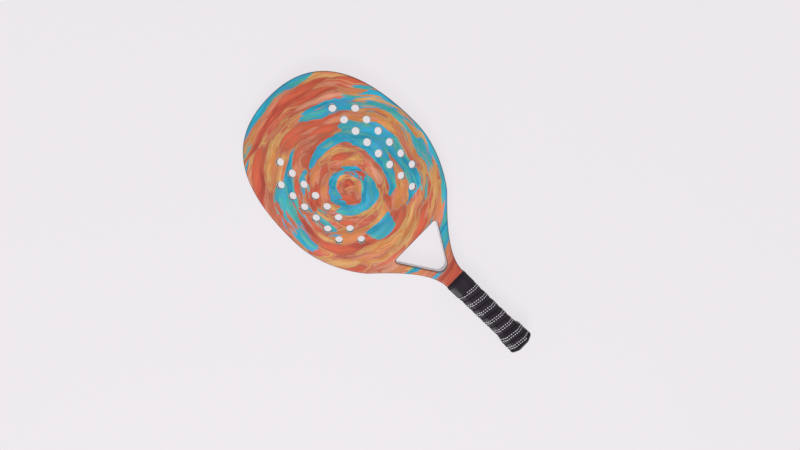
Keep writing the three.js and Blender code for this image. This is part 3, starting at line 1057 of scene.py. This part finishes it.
def make_paint_group(strokes_round):
    """A print in brush strokes: warm earth colours with sweeps of blue-green through them."""
    tree, given, out = new_group(
        "brushed_paint", ("Vector", "Centre", "Twist"), ("Color", "Relief"))
    drum = use_group(tree, strokes_round, {
        "Vector": given["Vector"], "Centre": given["Centre"],
        "Twist": given["Twist"], "Drift": 0.026})
    place = drum.outputs["Vector"]
    sweeps, _ = daubs(tree, place, 0.85, 56.0, (2.2, 4.1, 0.9))
    strokes, thickness = daubs(tree, place, 1.8, 98.0, (0.7, 5.2, 0.2))
    dabs, thin = daubs(tree, place, 3.0, 210.0, (6.3, 2.9, 0.6))
    streaks = stretched_noise(tree, place, (5, 5, 420), (1.3, 0.2, 4.0), 3.0, 0.6)
    bristles = stretched_noise(tree, place, (11, 11, 1500), (0.4, 0.9, 2.0), 3.0, 0.65)

    def total(*parts):
        value = 0.0
        for part, weight in parts:
            value = plus(tree, value, times(tree, part, weight))
        return value
    # The warm colours: a plainer red towards the handle
    warmth = total((strokes, 0.66), (dabs, 0.22), (streaks, 0.26))
    handle_end = ease(tree, drum.outputs["Radius"], 0.14, 0.18, 0.0, 0.75)
    warmth = add_node(tree, "Mix", {
        0: handle_end, 2: warmth, 3: total((dabs, 0.16), (streaks, 0.2))}).outputs[0]
    warm = colour_ramp(tree, warmth, [
        (0.2, 176, 70, 52), (0.32, 212, 94, 62), (0.42, 188, 100, 72), (0.5, 214, 134, 106),
        (0.6, 210, 126, 60), (0.7, 218, 170, 106), (0.8, 202, 86, 66), (0.92, 222, 152, 120)])
    # The sweeps of blue-green, with ragged edges, fewer of them far from the centre
    cool = colour_ramp(tree, total((dabs, 0.5), (streaks, 0.5)), [
        (0.25, 28, 134, 166), (0.42, 28, 172, 198), (0.54, 66, 160, 206), (0.66, 54, 176, 166),
        (0.78, 118, 172, 168)])
    ragged = total((sweeps, 0.66), (strokes, 0.16), (dabs, 0.1), (streaks, 0.26), (bristles, 0.08))
    inner = ease(tree, drum.outputs["Radius"], 0.1, 0.16, -0.035, -0.13)
    share = ease(tree, plus(tree, ragged, inner), 0.664, 0.689)
    colour = blend_colours(tree, share, warm, cool)
    # Bristle marks and the edges of the strokes, lighter and darker
    light = add_node(
        tree, "MapRange", {0: bristles, 1: 0.25, 2: 0.75, 3: 0.8, 4: 1.12}).outputs[0]
    worked = ease(tree, total((thickness, 0.7), (thin, 0.3)), 0.15, 0.75, 1.17, 0.83)
    light = times(tree, light, worked)
    grey = add_node(tree, "CombineColor", {0: light, 1: light, 2: light}).outputs[0]
    colour = blend_colours(tree, 1.0, colour, grey, "MULTIPLY")
    relief = total((bristles, 0.5), (streaks, 0.7), (thickness, -0.5), (thin, -0.35))
    return give(tree, out, Color=colour, Relief=relief)


def make_grain_group():
    """Fine pebbled grain, as on leather, rubber and textured plastic."""
    tree, given, out = new_group(
        "pebble_grain", ("Vector", "Cell Size", "Unevenness"), ("Height", "Cells"))
    scale = math_node(tree, "DIVIDE", 1.0, given["Cell Size"])
    cells = add_node(tree, "TexVoronoi", {
        "Vector": given["Vector"], "Scale": scale}, feature="SMOOTH_F1")
    clouds = noise_at(tree, given["Vector"], scale, 2.0)[0]
    lumps = times(tree, clouds, given["Unevenness"])
    height = math_node(tree, "SUBTRACT", lumps, cells.outputs["Distance"])
    return give(tree, out, Height=height, Cells=cells.outputs["Distance"])


def make_handling_group():
    """Soft marks of handling: a mask of smears, for roughness and a little colour."""
    tree, given, out = new_group(
        "handling_marks", ("Vector", "Mark Size", "Low", "High"), ("Roughness", "Marks"))
    scale = math_node(tree, "DIVIDE", 1.0, given["Mark Size"])
    broad = noise_at(tree, given["Vector"], scale, 4.0, 0.6)[0]
    marks = ease(tree, broad, 0.38, 0.66)
    span = math_node(tree, "SUBTRACT", given["High"], given["Low"])
    rough = plus(tree, given["Low"], times(tree, marks, span))
    return give(tree, out, Roughness=rough, Marks=marks)


PAINT = make_paint_group(make_stroke_group())
GRAIN = make_grain_group()
HANDLING = make_handling_group()


# Materials

# Painted shade down the laminates' rounded edges and hole walls: width, wander, share of dark
# colour
PAINTED_EDGE_SHADE = 0.8 * MM
PAINTED_EDGE_SHADE_WANDER = 0.15 * MM
PAINTED_EDGE_SHADE_SHARE = 0.62


def handled(tree, shader, place, size, low, high):
    """Roughness that varies with handling; gives the mask of the marks."""
    marks = use_group(tree, HANDLING, {
        "Vector": place, "Mark Size": size, "Low": low, "High": high})
    tree.links.new(marks.outputs["Roughness"], shader.inputs["Roughness"])
    return marks.outputs["Marks"]


def grained(tree, place, cell, unevenness):
    return use_group(tree, GRAIN, {"Vector": place, "Cell Size": cell, "Unevenness": unevenness})


def printed_lacquer(name, centre, twist):
    """Brush strokes under lacquer, with painted shade where the sheet rounds over its edge."""
    material, tree, shader, place = new_material(
        name, Coat_Weight=0.08, Coat_Roughness=0.25, Specular_IOR_Level=0.3)
    paint = use_group(tree, PAINT, {"Vector": place, "Centre": centre, "Twist": twist})
    marks = handled(tree, shader, place, 0.05, 0.46, 0.58)
    height = math_node(
        tree, "ABSOLUTE", math_node(tree, "SUBTRACT", separate(tree, place)[2], MIDDLE))
    height = plus(tree, height, times(tree, marks, PAINTED_EDGE_SHADE_WANDER))
    # Painted shade: the dark colour mixes in below the flat face, down the rounded edge
    edge = ease(tree, height, BODY_HALF - PAINTED_EDGE_SHADE, BODY_HALF, PAINTED_EDGE_SHADE_SHARE, 0.0)
    tint(tree, shader, edge, paint.outputs["Color"], srgb(92, 70, 74))
    bump(tree, shader, paint.outputs["Relief"], 0.12 * MM, 0.35)
    return material


def white_lacquer():
    """Off-white lacquer with a little orange peel."""
    material, tree, shader, place = new_material(
        "white_lacquer", Coat_Weight=0.3, Coat_Roughness=0.15)
    marks = handled(tree, shader, place, 0.02, 0.34, 0.48)
    tint(tree, shader, marks, srgb(234, 232, 232), srgb(229, 227, 226))
    bump(tree, shader, noise_at(tree, place, 900.0, 1.0)[0], 0.03 * MM, 0.4)
    return material


def foam(name, cell, unevenness, wall_colour, cell_colour, marks, relief):
    """Foam whose cells show in its colour and relief. Marks go to handled, relief to bump."""
    material, tree, shader, place = new_material(name, Specular_IOR_Level=0.3)
    grain = grained(tree, place, cell, unevenness)
    tint(tree, shader, grain.outputs["Cells"], wall_colour, cell_colour)
    handled(tree, shader, place, *marks)
    bump(tree, shader, grain.outputs["Height"], *relief)
    return material


def dark_moulding(name, colour, worn_colour, cell, low, high, **values):
    """Black rubber or plastic with a fine moulded grain."""
    material, tree, shader, place = new_material(name, **values)
    grain = grained(tree, place, cell, 0.5)
    marks = handled(tree, shader, place, 0.012, low, high)
    tint(tree, shader, marks, colour, worn_colour)
    bump(tree, shader, grain.outputs["Height"], 0.05 * MM, 0.5)
    return material


def grip_leather():
    """Black synthetic leather: pebbled, a little lighter and duller where hands rub it."""
    material, tree, shader, place = new_material(
        "grip_leather", Sheen_Weight=0.02, Sheen_Roughness=0.4, Specular_IOR_Level=0.26)
    grain = grained(tree, place, 0.75 * MM, 0.7)
    marks = handled(tree, shader, place, 0.02, 0.34, 0.48)
    colour = blend_colours(tree, marks, srgb(22, 8, 25), srgb(31, 15, 31))
    pores = ease(tree, grain.outputs["Cells"], 0.35, 0.75)
    tint(tree, shader, times(tree, pores, 0.5), colour, srgb(18, 13, 20))
    bump(tree, shader, grain.outputs["Height"], 0.09 * MM, 0.7)
    return material


def white_thread():
    """Twisted polyester thread, with painted shade greying the folds of its twist."""
    material, tree, shader, place = new_material("white_thread", Sheen_Weight=0.2)
    twist = add_node(tree, "TexWave", {
        "Vector": place, "Scale": 900.0, "Distortion": 3.0, "Detail": 1.0},
        bands_direction="DIAGONAL").outputs["Fac"]
    # Painted shade: the folds of the twist are coloured greyer
    tint(tree, shader, twist, srgb(226, 223, 227), srgb(244, 243, 245))
    handled(tree, shader, place, 0.004, 0.7, 0.9)
    bump(tree, shader, twist, 0.05 * MM, 0.6)
    return material


def steel_wire():
    """Bright wire with fine drawing marks along it."""
    material, tree, shader, place = new_material("steel_wire", Metallic=1.0)
    drawn = stretched_noise(tree, place, (300, 4000, 4000), (0, 0, 0), 2.0)
    tint(tree, shader, drawn, srgb(176, 180, 184), srgb(206, 208, 210))
    handled(tree, shader, place, 0.002, 0.25, 0.4)
    bump(tree, shader, drawn, 0.01 * MM, 0.4)
    return material


def dress(piece, material):
    piece.data.materials.clear()
    piece.data.materials.append(material)


def add_piece(piece, material, slot, *nodes):
    """Give a new piece its finish, let it stand for its CAD nodes and ride on the racket."""
    dress(piece, material)
    if nodes:
        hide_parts(*nodes)
    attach(piece, "root")


# Stage

CAMERA_PLACE = Vector((20.15, 122.62, 844.42)) * MM
CAMERA_TARGET = Vector((0.85, 3.82, 28.4)) * MM
CAMERA_TURN = math.radians(45.59)
LENS = 28
PALE = srgb(238, 234, 238)
SOFT_LIGHT = srgb(250, 249, 252)
SOFT_LIGHT_STRENGTH = 0.62

# Where the floor's shadow fades out, and how little of it shows before that
SHADOW_FADE = (0.35, 1.4)
UNSHADED_SHARE = 0.86


def aim_camera():
    """The photograph's camera: above the throat, turned so that the tip points up left."""
    forward = (CAMERA_TARGET - CAMERA_PLACE).normalized()
    upwards = Vector((math.sin(CAMERA_TURN), math.cos(CAMERA_TURN), 0))
    right = forward.cross(upwards).normalized()
    up = right.cross(forward)
    camera = bpy.data.objects.new("camera", bpy.data.cameras.new("camera"))
    camera.data.lens = LENS
    camera.data.clip_start = 10 * MM
    turned = Matrix((right, up, -forward)).transposed().to_4x4()
    camera.matrix_world = Matrix.Translation(CAMERA_PLACE) @ turned
    add_to_scene(camera)
    bpy.context.scene.camera = camera


def seen_directly(tree):
    """1 for the rays that show the picture, a mirror or glass, 0 for the light on the object."""
    path = add_node(tree, "LightPath")
    mirrored = math_node(
        tree, "MAXIMUM", path.outputs["Is Glossy Ray"], path.outputs["Is Transmission Ray"])
    return math_node(tree, "MAXIMUM", path.outputs["Is Camera Ray"], mirrored)


def show_as(tree, share, lighting, shown, output):
    """Let an output light the object with one shader and look like another."""
    mixed = add_node(tree, "MixShader", {0: share, 1: lighting.outputs[0], 2: shown.outputs[0]})
    tree.links.new(mixed.outputs[0], tree.nodes[output].inputs["Surface"])


def lay_floor():
    """A plain pale floor that shows its own colour and keeps a soft shadow."""
    deselect()
    bpy.ops.mesh.primitive_plane_add(size=12)
    floor = bpy.context.object
    floor.name = "floor"
    material, tree, shader, place = new_material(
        "pale_floor", Base_Color=PALE, Roughness=1.0, Specular_IOR_Level=0.0)
    glow = add_node(tree, "Emission", {"Color": PALE})
    own_colour = ease(tree, length_of(tree, place), *SHADOW_FADE, UNSHADED_SHARE)
    share = times(tree, seen_directly(tree), own_colour)
    show_as(tree, share, shader, glow, "Material Output")
    dress(floor, material)


def light_world():
    """Even studio light, with a backdrop of the floor's own colour."""
    world = bpy.data.worlds.new("studio")
    bpy.context.scene.world = world
    world.use_nodes = True
    tree = world.node_tree
    soft = tree.nodes["Background"]
    soft.inputs["Color"].default_value = SOFT_LIGHT
    soft.inputs["Strength"].default_value = SOFT_LIGHT_STRENGTH
    shown = add_node(tree, "Background", {"Color": PALE})
    show_as(tree, seen_directly(tree), soft, shown, "World Output")


def add_lamp(name, place, size, power):
    """A round lamp that points at the middle of the racket and isn't seen itself."""
    lamp = bpy.data.objects.new(name, bpy.data.lights.new(name, "AREA"))
    lamp.data.shape = "DISK"
    lamp.data.size = size
    lamp.data.energy = power
    lamp.location = place
    lamp.rotation_euler = (-Vector(place)).to_track_quat("-Z", "Y").to_euler()
    lamp.visible_camera = False
    add_to_scene(lamp)


# The racket

def build_racket():
    front = face_laminate()
    for piece, side, centre, twist in (
            (front, "front", (-0.012, 0.088, 0), 9.0),
            (back_twin(front), "back", (0.016, 0.112, 0), -9.0)):
        add_piece(
            piece, printed_lacquer("printed_lacquer_" + side, centre, twist),
            "printed_lacquer", side + "_face")
    white = white_lacquer()
    for piece, node in zip(parted_frame(), ("frame_tube", "bridge_tube", "throat_block")):
        add_piece(piece, white, "white_lacquer", node)
    soft_foam = foam(
        "soft_foam", 0.5 * MM, 0.8, srgb(248, 246, 243), srgb(236, 232, 227),
        marks=(0.01, 0.8, 0.95), relief=(0.15 * MM, 0.6))
    add_piece(foam_slab(), soft_foam, "soft_foam", "foam_core")
    add_piece(rubber_collar(), dark_moulding(
        "collar_rubber", srgb(17, 6, 21), srgb(24, 12, 27), 0.4 * MM, 0.35, 0.45,
        Specular_IOR_Level=0.26),
        "collar_rubber", "grip_collar")
    tape, first_turn, last_turn = wound_tape()
    add_piece(tape, grip_leather(), "grip_leather", "grip_tape")
    add_piece(tape_stitching(first_turn, last_turn), white_thread(), "grip_leather")
    add_piece(end_cap(), dark_moulding(
        "cap_plastic", srgb(26, 19, 28), srgb(35, 27, 37), 0.5 * MM, 0.36, 0.48,
        Specular_IOR_Level=0.2),
        "cap_plastic", "butt_cap")
    hard_foam = foam(
        "hard_foam", 0.8 * MM, 0.6, srgb(214, 200, 160), srgb(186, 170, 128),
        marks=(0.02, 0.75, 0.9), relief=(0.2 * MM, 0.7))
    shell = dark_moulding(
        "shell_plastic", srgb(60, 60, 63), srgb(70, 69, 72), 0.6 * MM, 0.5, 0.62)
    steel = steel_wire()
    for node, material in (
            ("handle_foam", hard_foam), ("handle_shell_front", shell),
            ("handle_shell_back", shell), ("cap_staple_front", steel),
            ("cap_staple_back", steel)):
        dress(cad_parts[node], material)


aim_camera()
lay_floor()
light_world()
add_lamp("key_lamp", (-1.85, -0.65, 0.22), size=0.4, power=9)
add_lamp("fill_lamp", (-0.85, -0.5, 1.5), size=0.9, power=14.2)
build_racket()
bpy.context.scene.view_settings.view_transform = "Standard"
